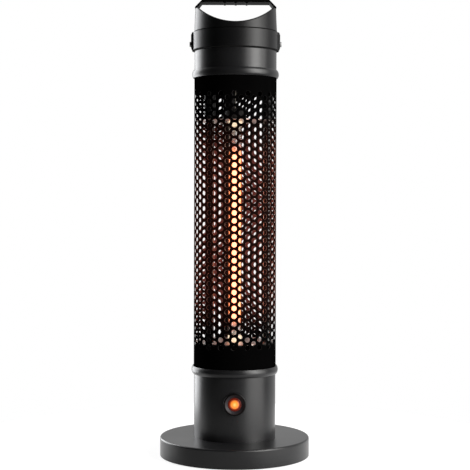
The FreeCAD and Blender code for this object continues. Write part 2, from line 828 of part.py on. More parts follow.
mouth = d.lamp_cap_radius + d.snug
socket_screw_circle = (mouth + d.socket_radius) / 2
screw_spots = [(socket_screw_circle, 0), (-socket_screw_circle, 0)]
socket_screws = []
for side, disc in (("low", reflector_low), ("high", reflector_high)):
    base = disc if side == "low" else disc + d.reflector_sheet
    far = base - d.socket_length if side == "low" else base + d.socket_length
    floor = base - d.socket_length + 5 if side == "low" else base + d.socket_length - 5
    outline = [(mouth, base), (mouth, floor), (lead_hole, floor), (lead_hole, far),
               (d.socket_radius, far), (d.socket_radius, base)]
    if side == "high":
        outline.reverse()
    holes, threads = [], []
    for i, (x, y) in enumerate(screw_spots):
        tag = "%s_%d" % (side, i)
        head = disc + d.reflector_sheet if side == "low" else disc - 1.2
        shank = disc - 6 if side == "low" else disc
        holes.append(rod("disc_screw_hole_" + tag, 1.2 + d.snug, d.reflector_sheet, (x, y, disc)))
        threads.append(rod("socket_thread_" + tag, 1.2 + d.snug, 6 + d.reflector_sheet, (x, y, shank)))
        socket_screws.append(joined("socket_screw_" + tag, [
            rod("socket_screw_head_" + tag, 2.1, 1.2, (x, y, head)),
            rod("socket_screw_shank_" + tag, 1.2, 6 + d.reflector_sheet, (x, y, shank)),
        ]))
    name = "lower" if side == "low" else "upper"
    form = tube(name + "_disc_form", reflector_radius, mouth, disc, disc + d.reflector_sheet)
    node(cut(name + "_reflector", form, disc_holes[side] + holes), name + "_reflector")
    node(cut(name + "_socket", turned(name + "_socket_form", outline), threads), name + "_socket")
node(grouped("socket_screws", socket_screws), "socket_screws")

# Lamp: a quartz tube in two ceramic caps with the glowing filament on straight leads.

low_cap_foot = reflector_low - d.socket_length + 5
low_cap_end = low_disc_top + d.lamp_cap_show
high_cap_foot = reflector_high - d.lamp_cap_show
high_cap_end = high_disc_top + d.socket_length - 5
pin = 0.7
tube_grip = d.tube_radius + d.snug
node(grouped("lamp_caps", [
    turned("lamp_cap_low", [
        (pin + 0.1, low_cap_foot), (d.lamp_cap_radius, low_cap_foot), (d.lamp_cap_radius, low_cap_end),
        (tube_grip, low_cap_end), (tube_grip, low_cap_end - 5), (pin + 0.1, low_cap_end - 5),
    ]),
    turned("lamp_cap_high", [
        (tube_grip, high_cap_foot), (d.lamp_cap_radius, high_cap_foot), (d.lamp_cap_radius, high_cap_end),
        (pin + 0.1, high_cap_end), (pin + 0.1, high_cap_foot + 5), (tube_grip, high_cap_foot + 5),
    ]),
]), "lamp_caps")
tube_bore = d.tube_radius - d.tube_wall
node(tube("quartz_tube", d.tube_radius, tube_bore, low_cap_end - 5, high_cap_foot + 5), "quartz_tube")
node(rod("filament", d.filament_radius, filament_high - filament_low, (0, 0, filament_low)), "filament")
node(grouped("lamp_pins", [
    rod("lamp_pin_low", pin, filament_low - low_cap_foot, (0, 0, low_cap_foot)),
    rod("lamp_pin_high", pin, high_cap_end - filament_high, (0, 0, filament_high)),
]), "lamp_pins")

# Wiring block under the lower deck, cut-out on the upper deck, and the leads between the parts.

BLOCK_FRONT, BLOCK_MIDDLE, BLOCK_BACK = 20.0, 27.0, 34.0
block_low = deck_low - 16
node(block(
    "terminal_block", (30, BLOCK_BACK - BLOCK_FRONT, 16), (-15, BLOCK_FRONT, block_low),
), "terminal_block")
node(grouped("terminal_screws", [
    rod("terminal_screw_%d" % i, 2, 1, (x, y, block_low - 1))
    for i, (x, y) in enumerate(((-10, 24), (0, 24), (10, 24), (-10, 30), (0, 30), (10, 30)))
]), "terminal_screws")
CUTOUT_FRONT, CUTOUT_BACK = 14.0, 30.0
cutout_mid = deck_high_top + 12
node(block(
    "thermal_cutout", (18, CUTOUT_BACK - CUTOUT_FRONT, 16), (-12, CUTOUT_FRONT, deck_high_top),
), "thermal_cutout")
rear_x, rear_y = [c.value for c in around(rod_circle, ROD_ANGLES[2])]
entry = deck_low.value - 9
switch_y = -blade_back.value
level = switch_height.value
tip_top = tip_roof.value + 6
BEND = 4.0
LEADS = {
    "lamp_lead_lower": [(0, 0, low_cap_foot.value), (0, 0, entry), (0, BLOCK_FRONT, entry)],
    "lamp_lead_upper": [
        (0, 0, high_cap_end.value), (0, 0, cutout_mid.value), (0, CUTOUT_FRONT, cutout_mid.value),
    ],
    "return_lead": [
        (rear_x, CUTOUT_BACK, cutout_mid.value), (rear_x, rear_y, cutout_mid.value),
        (rear_x, rear_y, entry - 3), (rear_x, BLOCK_BACK, entry - 3),
    ],
    "switch_lead_block": [
        (5, switch_y, level), (5, switch_y + 14, level),
        (5, switch_y + 14, entry), (5, BLOCK_FRONT, entry),
    ],
    "switch_lead_tip": [(-5, switch_y, level), (-5, 0, level), (-5, 0, tip_top)],
    "tip_lead_block": [
        (5, 0, tip_top), (5, 0, tip_top + 20),
        (5, BLOCK_MIDDLE, tip_top + 20), (5, BLOCK_MIDDLE, block_low.value),
    ],
}
for name, corners in LEADS.items():
    node(solid_of(name, wire_shape(corners, d.wire_radius.value, BEND)), name)

# Upper housing with the collar round its top; the cap's skirt goes down inside it.

crown_inner = crown_radius - d.housing_wall
collar_inner = crown_radius + d.snug
collar_outer = collar_inner + d.collar_wall
screw_radius = 2.0
screw_clear = screw_radius + d.snug
SIDES = ((1, "right", RIGHTWARD), (-1, "left", LEFTWARD))
screw_at = (0, 0, side_screw_height)
lug_reach = collar_outer + d.lug_rise
drill_length = lug_reach + d.drill_excess


def side_drills(name):
    """Drills from the axis outwards for the two side screws."""
    return [rod(name + "_" + side, screw_clear, drill_length, screw_at, turn) for _, side, turn in SIDES]


crown_form = tube("crown_form", crown_radius, crown_inner, upper_seat, crown_top)
node(cut("upper_housing", crown_form, side_drills("crown_drill")), "upper_housing")
collar_high = cap_bottom - d.seam_gap
collar_form = tube("collar_form", collar_outer, collar_inner, collar_bottom, collar_high)
node(cut("collar", collar_form, side_drills("collar_drill")), "collar")

# Cap: a hollow moulding scooped along Y, so that two horns stand up at the sides for the grip.

skirt_low = side_screw_height - 8
skirt_radius = crown_inner - d.snug
skirt_inner = skirt_radius - d.cap_wall
scoop_axis = scoop_low + scoop_radius
cap_form = turned("cap_form", [
    (0, skirt_low), (skirt_radius, skirt_low), (skirt_radius, cap_bottom), (cap_radius, cap_bottom),
    (cap_neck, horn_top), (0, horn_top),
])
hollow_form = turned("cap_hollow_form", [
    (0, skirt_low), (skirt_inner, skirt_low), (skirt_inner, scoop_low + 9), (0, scoop_low + 9),
])
scoop_end = cap_radius + d.drill_excess
scoop_at = (0, scoop_end, scoop_axis)
scoop = rod("scoop", scoop_radius, scoop_end * 2, scoop_at, FORWARD)
scoop_back = rod("scoop_back", scoop_radius + d.cap_wall, scoop_end * 2, scoop_at, FORWARD)
hollow = cut("cap_hollow", hollow_form, [scoop_back])
cap_bosses = [
    rod("cap_boss_" + side, 5, 8, (sign * (skirt_inner - 7), 0, side_screw_height), turn)
    for sign, side, turn in SIDES
]
PEG = (1.4, 10.0, 8.0)
horn_middle = cap_neck - d.grip_wall / 2
peg_slots = []
for sign, side, _ in SIDES:
    peg_slots.append(block("peg_slot_" + side, (PEG[0] + 2 * d.snug, PEG[1] + 2 * d.snug, PEG[2] + 1), (
        sign * horn_middle - PEG[0] / 2 - d.snug, -PEG[1] / 2 - d.snug, horn_top - PEG[2] - 1,
    )))
cap_shell = cut("cap_shell", cap_form, [scoop])
cap_open = cut("cap_open", cap_shell, [hollow])
cap_solid = joined("cap_solid", [cap_open] + cap_bosses)
node(cut("handle_cap", cap_solid, side_drills("cap_drill") + peg_slots), "handle_cap")

# Grip: a flat bar with sloped ends that stand on the horns, three finger bumps under it.

grip_low = grip_top - d.grip_thick
grip_root = cap_neck - d.grip_wall
grip_inner = cap_neck - d.grip_inset
grip_form = padded("grip_form", [
    (grip_root, horn_top), (cap_neck, horn_top), (cap_neck, grip_shoulder), (grip_flat, grip_top),
    (-grip_flat, grip_top), (-cap_neck, grip_shoulder), (-cap_neck, horn_top), (-grip_root, horn_top),
    (-grip_root, grip_shoulder), (-grip_inner, grip_low), (grip_inner, grip_low), (grip_root, grip_shoulder),
], d.grip_width)
doc.recompute()
grip_pad = grip_form.Tip
rim_edges = []
for i, edge in enumerate(grip_pad.Shape.Edges, start=1):
    middle = edge.CenterOfMass
    on_side = abs(abs(middle.y) - d.grip_width.value / 2) < 0.01
    above = middle.z > grip_shoulder.value + 0.5
    if on_side and above:
        rim_edges.append("Edge%d" % i)
rounding = grip_form.newObject("PartDesign::Fillet", "grip_rounding")
rounding.Base = (grip_pad, rim_edges)
bind(rounding, "Radius", d.grip_round)
grip_form.Tip = rounding
bump_end = d.grip_width / 2 - 4
bumps = [
    rod("bump_%d" % i, 2.4, d.grip_width - 8, (d.bump_pitch * i, bump_end, grip_low + 1.1), FORWARD)
    for i in (-1, 0, 1)
]
pegs = [
    block("peg_" + side, (PEG[0], PEG[1], PEG[2] + 1), (
        sign * horn_middle - PEG[0] / 2, -PEG[1] / 2, horn_top - PEG[2],
    ))
    for sign, side, _ in SIDES
]
node(joined("handle_grip", [grip_form] + bumps + pegs), "handle_grip")

# Side lugs: bevelled pads on the collar, each held by a screw that reaches the cap's boss.

lug_root = collar_outer - 3
lug_brow = lug_reach - d.lug_rise * 0.7
lug_seat_low = collar_bottom - d.drill_excess
lug_seat_high = collar_high + d.drill_excess
lug_drills = side_drills("lug_drill")
lugs, side_screws = [], []
for (sign, side, turn), drill in zip(SIDES, lug_drills):
    pad = padded("lug_form_" + side, [
        (sign * lug_root, collar_bottom), (sign * lug_brow, collar_bottom),
        (sign * lug_reach, collar_bottom + d.lug_bevel), (sign * lug_reach, collar_high - d.lug_bevel),
        (sign * lug_brow, collar_high), (sign * lug_root, collar_high),
    ], d.lug_width)
    lug_seat = rod("lug_seat_" + side, collar_outer, lug_seat_high - lug_seat_low, (0, 0, lug_seat_low))
    lugs.append(cut("lug_" + side, pad, [lug_seat, drill]))
    side_screws.append(joined("side_screw_" + side, [
        rod("side_screw_head_" + side, 3.6, 2.2, (sign * lug_reach, 0, side_screw_height), turn),
        rod("side_screw_shank_" + side, screw_radius, 14, (
            sign * (lug_reach - 14), 0, side_screw_height,
        ), turn),
    ]))
node(grouped("side_lugs", lugs), "side_lugs")
node(grouped("side_screws", side_screws), "side_screws")

doc.recompute()
for obj in doc.Objects:
    if "Invalid" in obj.State or "Error" in obj.State:
        raise RuntimeError("%s did not recompute: %s" % (obj.Name, obj.State))
os.makedirs("parts", exist_ok=True)
for name, obj in nodes:
    shape = obj.Shape
    if shape.isNull() or not shape.isValid() or not shape.Solids:
        raise RuntimeError("%s has no valid solid" % name)
    shape.exportStep("parts/%s.step" % name)
    print("%-18s %2d solids %10.1f mm3" % (name, len(shape.Solids), shape.Volume))
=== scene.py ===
import math

import bmesh
import bpy
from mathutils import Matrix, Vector


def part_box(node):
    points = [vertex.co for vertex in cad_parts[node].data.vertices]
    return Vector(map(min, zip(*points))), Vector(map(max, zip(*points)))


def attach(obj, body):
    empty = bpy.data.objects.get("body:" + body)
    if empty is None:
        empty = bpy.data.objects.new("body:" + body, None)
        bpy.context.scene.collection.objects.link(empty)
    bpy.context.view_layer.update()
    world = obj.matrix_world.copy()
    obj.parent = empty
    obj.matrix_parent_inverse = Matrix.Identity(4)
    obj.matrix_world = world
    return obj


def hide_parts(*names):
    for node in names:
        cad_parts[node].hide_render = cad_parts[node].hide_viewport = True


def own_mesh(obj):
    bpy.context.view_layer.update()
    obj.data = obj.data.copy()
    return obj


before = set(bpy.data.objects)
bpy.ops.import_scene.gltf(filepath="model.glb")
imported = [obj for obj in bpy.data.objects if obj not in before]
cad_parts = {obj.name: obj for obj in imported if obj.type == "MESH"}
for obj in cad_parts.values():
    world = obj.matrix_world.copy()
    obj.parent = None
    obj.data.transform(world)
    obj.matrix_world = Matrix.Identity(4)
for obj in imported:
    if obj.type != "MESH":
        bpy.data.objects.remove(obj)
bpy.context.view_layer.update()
scene = bpy.context.scene
scene.view_settings.view_transform = "Standard"

# Base: a drawn steel cover under a satin charcoal coat, baked on as powder, so that its gloss is a
# little uneven and a fine orange peel breaks the reflections. Zinc plate, rubber feet, iron ballast.


class Shade:
    """One output of a node tree. Arithmetic on it adds Math nodes."""

    def __init__(self, tree, socket=None):
        self.tree = tree
        self.socket = socket

    def node(self, kind, inputs=None, output=0, **settings):
        made = self.tree.nodes.new(kind)
        for key, value in settings.items():
            setattr(made, key, value)
        for key, value in (inputs or {}).items():
            if isinstance(value, Shade):
                self.tree.links.new(value.socket, made.inputs[key])
            else:
                made.inputs[key].default_value = value
        return Shade(self.tree, made.outputs[output] if len(made.outputs) else None)

    def math(self, operation, first, second=0.0):
        return self.node("ShaderNodeMath", {0: first, 1: second}, operation=operation)

    def __add__(self, other):
        return self.math("ADD", self, other)

    def __sub__(self, other):
        return self.math("SUBTRACT", self, other)

    def __mul__(self, other):
        return self.math("MULTIPLY", self, other)

    def __rsub__(self, other):
        return self.math("SUBTRACT", other, self)

    __radd__ = __add__
    __rmul__ = __mul__

    def root(self):
        return self.math("SQRT", self)

    def between(self, low, high):
        """0 up to low, 1 from high on, smooth in the middle."""
        return self.node("ShaderNodeMapRange", {0: self, 1: low, 2: high}, interpolation_type="SMOOTHSTEP")

    def tint(self, dark, light):
        """The colour between two colours that this value picks."""
        ends = [end if isinstance(end, Shade) else (*end, 1) for end in (dark, light)]
        return self.node("ShaderNodeMix", {0: self, 6: ends[0], 7: ends[1]}, output=2, data_type="RGBA")

    def axis(self, index):
        """One coordinate of a vector."""
        return self.node("ShaderNodeSeparateXYZ", {0: self}, output=index)

    def noise(self, scale, detail=3.0):
        return self.node("ShaderNodeTexNoise", {"Vector": self, "Scale": scale, "Detail": detail})

    def stretched(self, scale):
        """The same coordinates, drawn out or drawn in along the axes."""
        return self.node("ShaderNodeMapping", {"Vector": self, "Scale": scale})

    def bump(self, strength, distance):
        """A normal that follows this height."""
        return self.node("ShaderNodeBump", {"Strength": strength, "Distance": distance, "Height": self})


def finish(name, paint):
    """A new material: paint gets the object's coordinates and returns the shader's inputs."""
    made = bpy.data.materials.new(name)
    made.use_nodes = True
    tree = made.node_tree
    tree.nodes.clear()
    start = Shade(tree)
    surface = start.node("ShaderNodeBsdfPrincipled", paint(start.node("ShaderNodeTexCoord", output=3)))
    start.node("ShaderNodeOutputMaterial", {"Surface": surface})
    return made


def wear(made, *nodes):
    """Give CAD nodes a finish."""
    for name in nodes:
        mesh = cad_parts[name].data
        mesh.materials.clear()
        mesh.materials.append(made)


def satin_coat(dark, light, rough, shine):
    """Baked powder: clouds of tone, faint streaks round the piece, orange peel."""
    def paint(place):
        cloud = place.noise(14.0)
        streak = place.stretched((6.0, 6.0, 260.0)).noise(1.0, 2.0)
        return {
            "Base Color": (cloud * 0.7 + streak * 0.3).tint(dark, light),
            "Roughness": cloud * 0.06 + streak * 0.05 + rough,
            "Specular IOR Level": shine,
            "Normal": place.noise(900.0, 2.0).bump(0.06, 0.0004),
        }
    return paint


def plated(dark, light, rough, grain):
    """Bare or plated metal: clouded tone and a little uneven polish."""
    def paint(place):
        cloud = place.noise(grain)
        return {"Base Color": cloud.tint(dark, light), "Metallic": 1.0, "Roughness": cloud * 0.12 + rough}
    return paint


def moulded(dark, light, rough, shine, grain):
    """Moulded plastic or rubber: nearly one tone, with the spark-eroded grain of its mould."""
    def paint(place):
        cloud = place.noise(25.0)
        skin = place.noise(grain, 1.0)
        return {
            "Base Color": cloud.tint(dark, light),
            "Roughness": cloud * 0.05 + skin * 0.06 + rough,
            "Specular IOR Level": shine,
            "Normal": skin.bump(0.08, 0.0003),
        }
    return paint


coat_paint = satin_coat((0.011, 0.011, 0.012), (0.017, 0.017, 0.018), 0.25, 0.5)
charcoal = finish("charcoal_coat", coat_paint)
zinc = finish("zinc_steel", plated((0.42, 0.42, 0.43), (0.62, 0.62, 0.62), 0.24, 60.0))
rubber = finish("foot_rubber", moulded((0.012, 0.012, 0.012), (0.022, 0.022, 0.022), 0.62, 0.3, 500.0))
iron = finish("ballast_iron", plated((0.05, 0.05, 0.05), (0.13, 0.12, 0.11), 0.55, 120.0))
wear(charcoal, "base_cover")
wear(zinc, "base_plate", "base_plate_screws", "column_bolts", "column_nuts")
wear(rubber, "base_feet")
wear(iron, "base_weight")

# Tip-over switch in the middle of the base: glossy black moulded body and plunger, brass blades
# pressed into its roof, a steel spring inside.
gloss_paint = moulded((0.004, 0.004, 0.0045), (0.007, 0.007, 0.0075), 0.12, 0.5, 300.0)
black_plastic = finish("black_plastic", gloss_paint)
brass = finish("terminal_brass", plated((0.55, 0.36, 0.12), (0.78, 0.56, 0.24), 0.22, 90.0))
wear(black_plastic, "tip_switch_body", "tip_plunger")
wear(brass, "tip_terminals")
wear(zinc, "tip_spring")

# Lower housing: a rolled steel tube in the base's coat, bolted down through its flange, with the
# lower bead ring on its top edge. The cord inlet at the back is a moulded gland with a rubber seal.
wear(charcoal, "lower_housing", "lower_bead")
wear(black_plastic, "gland_body", "gland_cap", "gland_nut")
wear(rubber, "gland_seal")

# Push switch: black bezel held by a nut inside, red-brown translucent button collar and an amber
# lens. A small bulb behind the lens makes its middle the brightest spot. The spring behind the button
# gets a mesh of its own.
SLOPE_RADIUS = 0.0133
lens_low, lens_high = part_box("switch_lens")
lens_height = (lens_low[2] + lens_high[2]) / 2
lens_radius = (lens_high[0] - lens_low[0]) / 2


def from_button(place):
    """The distance from the button's axis."""
    x = place.axis(0)
    z = place.axis(2) - lens_height
    return (x * x + z * z).root()


def amber_lens(place):
    off_centre = from_button(place)
    fleck = place.noise(420.0) * 0.0016
    core = (off_centre + fleck).between(0.0008, lens_radius * 0.62)
    edge = off_centre.between(lens_radius * 0.5, lens_radius * 1.02)
    return {
        "Base Color": edge.tint((0.60, 0.20, 0.04), (0.20, 0.02, 0.008)),
        "Roughness": place.noise(200.0) * 0.05 + 0.1,
        "Emission Color": edge.tint(core.tint((1.0, 0.58, 0.17), (0.96, 0.25, 0.025)), (0.20, 0.018, 0.005)),
        "Emission Strength": 1.0,
    }


def bezel_black(place):
    """Satin black, dark grey on the slope that leads down to the button."""
    slope = 1 - from_button(place).between(SLOPE_RADIUS - 0.0005, SLOPE_RADIUS + 0.0005)
    cloud = place.noise(120.0)
    black = cloud.tint((0.002, 0.002, 0.002), (0.004, 0.004, 0.004))
    return {
        "Base Color": slope.tint(black, (0.034, 0.030, 0.034)),
        "Roughness": cloud * 0.08 + 0.34,
        "Specular IOR Level": 0.2,
    }


def red_collar(place):
    cloud = place.noise(150.0)
    return {
        "Base Color": cloud.tint((0.09, 0.008, 0.004), (0.13, 0.014, 0.006)),
        "Roughness": cloud * 0.06 + 0.14,
        "Emission Color": cloud.tint((0.07, 0.006, 0.003), (0.10, 0.010, 0.004)),
        "Emission Strength": 0.6,
    }


wear(finish("bezel_black", bezel_black), "switch_bezel")
wear(black_plastic, "switch_nut", "switch_body")
wear(finish("lens_amber", amber_lens), "switch_lens")
wear(finish("button_red", red_collar), "switch_button")
wear(rubber, "switch_seal")
wear(brass, "switch_terminals")
wear(zinc, "switch_spring")
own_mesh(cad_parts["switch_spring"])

# Guard: a rolled sheet with punched holes, dead black outside and browned by the heat inside, with a
# plain strip at the left where its ends meet. One slice of two columns is laid out and bent to the
# sheet's radius; Geometry Nodes turn it round the axis. Punching broke and bared the hole edges.
COLUMNS = 38
COLUMNS_LEFT = 8
ROWS = 33
PHASE = math.radians(-1.2)
PITCH = 0.01105
HOLE_MARGIN = 0.0391
HOLE = 0.0036
BREAK = 0.0004
SEGMENTS = 20
SEW = 0.00002
# heights of the guard's heat tint and of its painted glow
HEAT_AND_GLOW_RISE = (0.17, 0.24)
HEAT_AND_GLOW_FALL = (0.42, 0.49)
SHEET = 0.0008
COLUMN_PITCH = 0.00952
guard_low, guard_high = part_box("guard")
guard_outer = 0.0588
guard_inner = guard_outer - SHEET
first_hole = guard_low[2] + HOLE_MARGIN
step = COLUMN_PITCH / (guard_outer - SHEET / 2)
first_column = PHASE - step * COLUMNS_LEFT


def guard_slice(name, columns, half):
    """A slice of the sheet, some columns wide; without columns it is plain."""
    work = bmesh.new()
    corners = {}

    def corner(u, z, radius):
        key = (round(u, 7), round(z, 7), round(radius, 7))
        if key not in corners:
            corners[key] = work.verts.new((radius * math.sin(u), -radius * math.cos(u), z))
        return corners[key]

    def ring(u, z, size, radius):
        made = []
        for i in range(SEGMENTS):
            turn = 2 * math.pi * (i + 0.5) / SEGMENTS
            made.append(corner(u + size / guard_outer * math.cos(turn), z + size * math.sin(turn), radius))
        return made

    def pierced(u, z):
        """One cell: a hole, its broken edge and wall, and the sheet round it on both sides."""
        rim = [(u + half, z), (u + half, z + PITCH / 2), (u, z + PITCH / 2), (u - half, z + PITCH / 2),
               (u - half, z), (u - half, z - PITCH / 2), (u, z - PITCH / 2), (u + half, z - PITCH / 2)]
        lip = ring(u, z, HOLE + BREAK, guard_outer)
        edge = ring(u, z, HOLE, guard_outer - BREAK)
        back = ring(u, z, HOLE, guard_inner)
        for i in range(SEGMENTS):
            j = (i + 1) % SEGMENTS
            work.faces.new((edge[j], edge[i], lip[i], lip[j]))
            work.faces.new((back[j], back[i], edge[i], edge[j]))
        starts = []
        for p, q in rim:
            turn = math.atan2(q - z, (p - u) * guard_outer) / (2 * math.pi)
            starts.append(int(round(turn * SEGMENTS - 0.5)) % SEGMENTS)
        for radius, hole, outward in ((guard_outer, lip, True), (guard_inner, back, False)):
            outer = [corner(p, q, radius) for p, q in rim]
            for k in range(len(rim)):
                here, following = starts[k], starts[(k + 1) % len(rim)]
                fan = [hole[(here + n) % SEGMENTS] for n in range((following - here) % SEGMENTS + 1)]
                points = [outer[k], outer[(k + 1) % len(rim)]] + fan[::-1]
                work.faces.new(points if outward else points[::-1])

    def plain(u, low, high):
        """A stretch of sheet without holes, one column wide, in two flats."""
        for left, right in ((u - half, u), (u, u + half)):
            spots = [(left, low), (right, low), (right, high), (left, high)]
            work.faces.new([corner(p, q, guard_outer) for p, q in spots])
            work.faces.new([corner(p, q, guard_inner) for p, q in spots[::-1]])

    zone_low = first_hole - PITCH / 2
    zone_high = first_hole + PITCH * (ROWS - 0.5)
    for column in range(max(columns, 1)):
        u = first_column + 2 * half * column
        for row in range(ROWS - column if columns else 0):
            pierced(u, first_hole + PITCH * (row + column / 2))
        if column:
            plain(u, zone_low, first_hole)
            plain(u, zone_high - PITCH / 2, zone_high)
        if not columns:
            u = first_column - step / 2 - half
            plain(u, zone_low, zone_high)
        plain(u, guard_low[2], zone_low)
        plain(u, zone_high, guard_high[2])
        for z, up in ((guard_low[2], False), (guard_high[2], True)):
            for left, right in ((u - half, u), (u, u + half)):
                loop = [corner(left, z, guard_outer), corner(right, z, guard_outer),
                        corner(right, z, guard_inner), corner(left, z, guard_inner)]
                work.faces.new(loop if up else loop[::-1])
    bmesh.ops.triangulate(work, faces=[f for f in work.faces if len(f.verts) > 4])
    mesh = bpy.data.meshes.new(name)
    work.to_mesh(mesh)
    work.free()
    return bpy.data.objects.new(name, mesh)


SHARP = math.radians(30.0)


def node_group(name, inputs):
    """An empty geometry group with named inputs and one geometry output, and its inputs' values."""
    group = bpy.data.node_groups.new(name, "GeometryNodeTree")
    group.interface.new_socket("Geometry", in_out="OUTPUT", socket_type="NodeSocketGeometry")
    for label, kind in inputs.items():
        group.interface.new_socket(label, in_out="INPUT", socket_type=kind)
    given = group.nodes.new("NodeGroupInput")
    return group, [Shade(group, socket) for socket in list(given.outputs)[:len(inputs)]]


def settle(name, group, values, replaced):
    """Run a geometry group once and keep what it makes as a plain mesh in place of a CAD node."""
    holder = bpy.data.objects.new(name + "_maker", bpy.data.meshes.new(name + "_maker"))
    scene.collection.objects.link(holder)
    modifier = holder.modifiers.new("nodes", "NODES")
    modifier.node_group = group
    for item in group.interface.items_tree:
        if item.in_out == "INPUT":
            modifier[item.identifier] = values[item.name]
    bpy.context.view_layer.update()
    shown = holder.evaluated_get(bpy.context.evaluated_depsgraph_get())
    mesh = bpy.data.meshes.new_from_object(shown)
    mesh.shade_smooth()
    mesh.set_sharp_from_angle(angle=SHARP)
    piece = bpy.data.objects.new(name, mesh)
    scene.collection.objects.link(piece)
    bpy.data.objects.remove(holder)
    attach(piece, "tower")
    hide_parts(replaced)


def heat_black(place):
    """Black outside, brown inside, bare metal in the holes; beside the lamp it has a painted glow, emission
    standing in for the lamp's light on it.
    """
    x, y, z = [place.axis(i) for i in range(3)]
    radius = (x * x + y * y).root()
    inside = 1 - radius.between(guard_inner + 0.00002, guard_inner + 0.00012)
    edge = 1 - radius.between(guard_outer - BREAK, guard_outer - 0.00008)
    heat_and_glow = z.between(*HEAT_AND_GLOW_RISE) - z.between(*HEAT_AND_GLOW_FALL)
    cloud = place.noise(45.0)
    outer = cloud.tint((0.0012, 0.0012, 0.0013), (0.0026, 0.0025, 0.0025))
    bared = heat_and_glow.tint((0.05, 0.048, 0.048), (0.34, 0.19, 0.145))
    # painted glow: faint emission on the outer face and hole walls, standing in for the lamp's light
    glow = edge.tint((0.010, 0.0025, 0.0015), (0.010, 0.003, 0.002))
    wall = edge * (1 - inside)
    browned = (heat_and_glow * 0.7 + cloud * 0.3).tint((0.004, 0.003, 0.003), (0.018, 0.004, 0.005))
    return {
        "Base Color": inside.tint(edge.tint(outer, bared), browned),
        "Metallic": wall,
        "Roughness": cloud * 0.1 - wall * 0.1 + 0.55,
        "Specular IOR Level": 0.0,
        # painted light: the stretch beside the lamp emits, most on the inside face, where the lamp's light
        # falls
        "Emission Color": heat_and_glow.tint((0.0, 0.0, 0.0), inside.tint(glow, (0.100, 0.026, 0.020))),
        "Emission Strength": 1.0,
        "Normal": place.noise(1500.0, 1.0).bump(0.05, 0.0003),
    }


group, (slices, strip, count, angle, coat) = node_group("turned_slices", {
    "Slice": "NodeSocketObject", "Strip": "NodeSocketObject", "Count": "NodeSocketInt",
    "Angle": "NodeSocketFloat", "Coat": "NodeSocketMaterial",
})
make = Shade(group)
pierced_part = make.node("GeometryNodeObjectInfo", {"Object": slices}, output="Geometry")
plain_part = make.node("GeometryNodeObjectInfo", {"Object": strip}, output="Geometry")
points = make.node("GeometryNodePoints", {"Count": count})
turn = make.node("ShaderNodeCombineXYZ", {2: make.node("GeometryNodeInputIndex") * angle})
copies = make.node("GeometryNodeInstanceOnPoints", {
    "Points": points, "Instance": pierced_part, "Rotation": turn,
})
whole = make.node("GeometryNodeJoinGeometry", {0: copies})
group.links.new(plain_part.socket, whole.socket.node.inputs[0])
real = make.node("GeometryNodeRealizeInstances", {0: whole})
sewn = make.node("GeometryNodeMergeByDistance", {"Geometry": real, "Distance": SEW})
coated = make.node("GeometryNodeSetMaterial", {"Geometry": sewn, "Material": coat})
make.node("NodeGroupOutput", {0: coated})
pair = guard_slice("guard_pair", 2, step / 2)
joint = guard_slice("guard_joint", 0, math.pi - step * COLUMNS / 2)
settle("guard_sheet", group, {
    "Slice": pair, "Strip": joint, "Count": COLUMNS // 2, "Angle": 2 * step,
    "Coat": finish("guard_black", heat_black),
}, "guard")
bpy.data.objects.remove(pair)
bpy.data.objects.remove(joint)

# Chassis inside the guard: black sheet decks on three glossy black tie rods, plated nuts and clips,
# and at each end of the lamp a bright reflector disc, spun and tinted by the heat.
GROOVES = 5200.0


def spun_bright(place):
    cloud = place.noise(55.0)
    x, y = place.axis(0), place.axis(1)
    groove = place.math("SINE", (x * x + y * y).root() * GROOVES)
    return {
        "Base Color": cloud.tint((0.82, 0.64, 0.56), (0.92, 0.78, 0.70)),
        "Metallic": 1.0,
        "Roughness": cloud * 0.2 + 0.26,
        "Normal": groove.bump(0.12, 0.0002),
    }


deck_paint = moulded((0.006, 0.006, 0.006), (0.013, 0.012, 0.012), 0.42, 0.3, 400.0)
rod_paint = moulded((0.006, 0.006, 0.006), (0.013, 0.012, 0.012), 0.14, 1.0, 400.0)
wear(finish("chassis_black", deck_paint), "lower_deck", "upper_deck", "lower_spacers", "upper_spacers")
wear(finish("rod_black", rod_paint), "tie_rods")
wear(zinc, "tie_rod_nuts", "rod_clips", "socket_screws")
wear(finish("reflector_bright", spun_bright), "lower_reflector", "upper_reflector")

# Lamp: pale ceramic ends in sockets coloured near black, a clear quartz tube and the wound filament, a
# tight helix that is swept by Geometry Nodes. It is yellow-white with heat and orange at its ends.
coil_low, coil_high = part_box("filament")
WIRE = 0.0012
TURNS = 90.0
TURN_POINTS = 16
WIRE_SIDES = 8


def ceramic(dark, light, rough, grain):
    """Fired clay without glaze."""
    def paint(place):
        cloud = place.noise(grain)
        return {"Base Color": cloud.tint(dark, light), "Roughness": cloud * 0.1 + rough}
    return paint


def hot_ceramic(place):
    """The lamp's ends, lit through by the filament's heat."""
    cloud = place.noise(60.0)
    return {
        "Base Color": cloud.tint((0.78, 0.72, 0.62), (0.88, 0.82, 0.72)),
        "Roughness": cloud * 0.1 + 0.5,
        "Emission Color": cloud.tint((1.0, 0.78, 0.50), (1.0, 0.84, 0.60)),
        "Emission Strength": 0.9,
    }


def heated_part(place, run):
    """1 along the glowing stretch of the lamp, falling to 0 over a short run at both ends."""
    height = place.axis(2)
    return height.between(coil_low[2] - run, coil_low[2] + run) - height.between(
        coil_high[2] - run, coil_high[2] + run)


def clear_quartz(place):
    cloud = place.noise(30.0)
    return {
        "Base Color": cloud.tint((0.95, 0.93, 0.90), (1.0, 0.99, 0.97)),
        "Roughness": cloud * 0.03 + 0.02,
        "IOR": 1.46,
        "Alpha": 0.25,
        "Emission Color": heated_part(place, 0.012).tint((0.0, 0.0, 0.0), (1.0, 0.24, 0.045)),
        "Emission Strength": 3.4,
    }


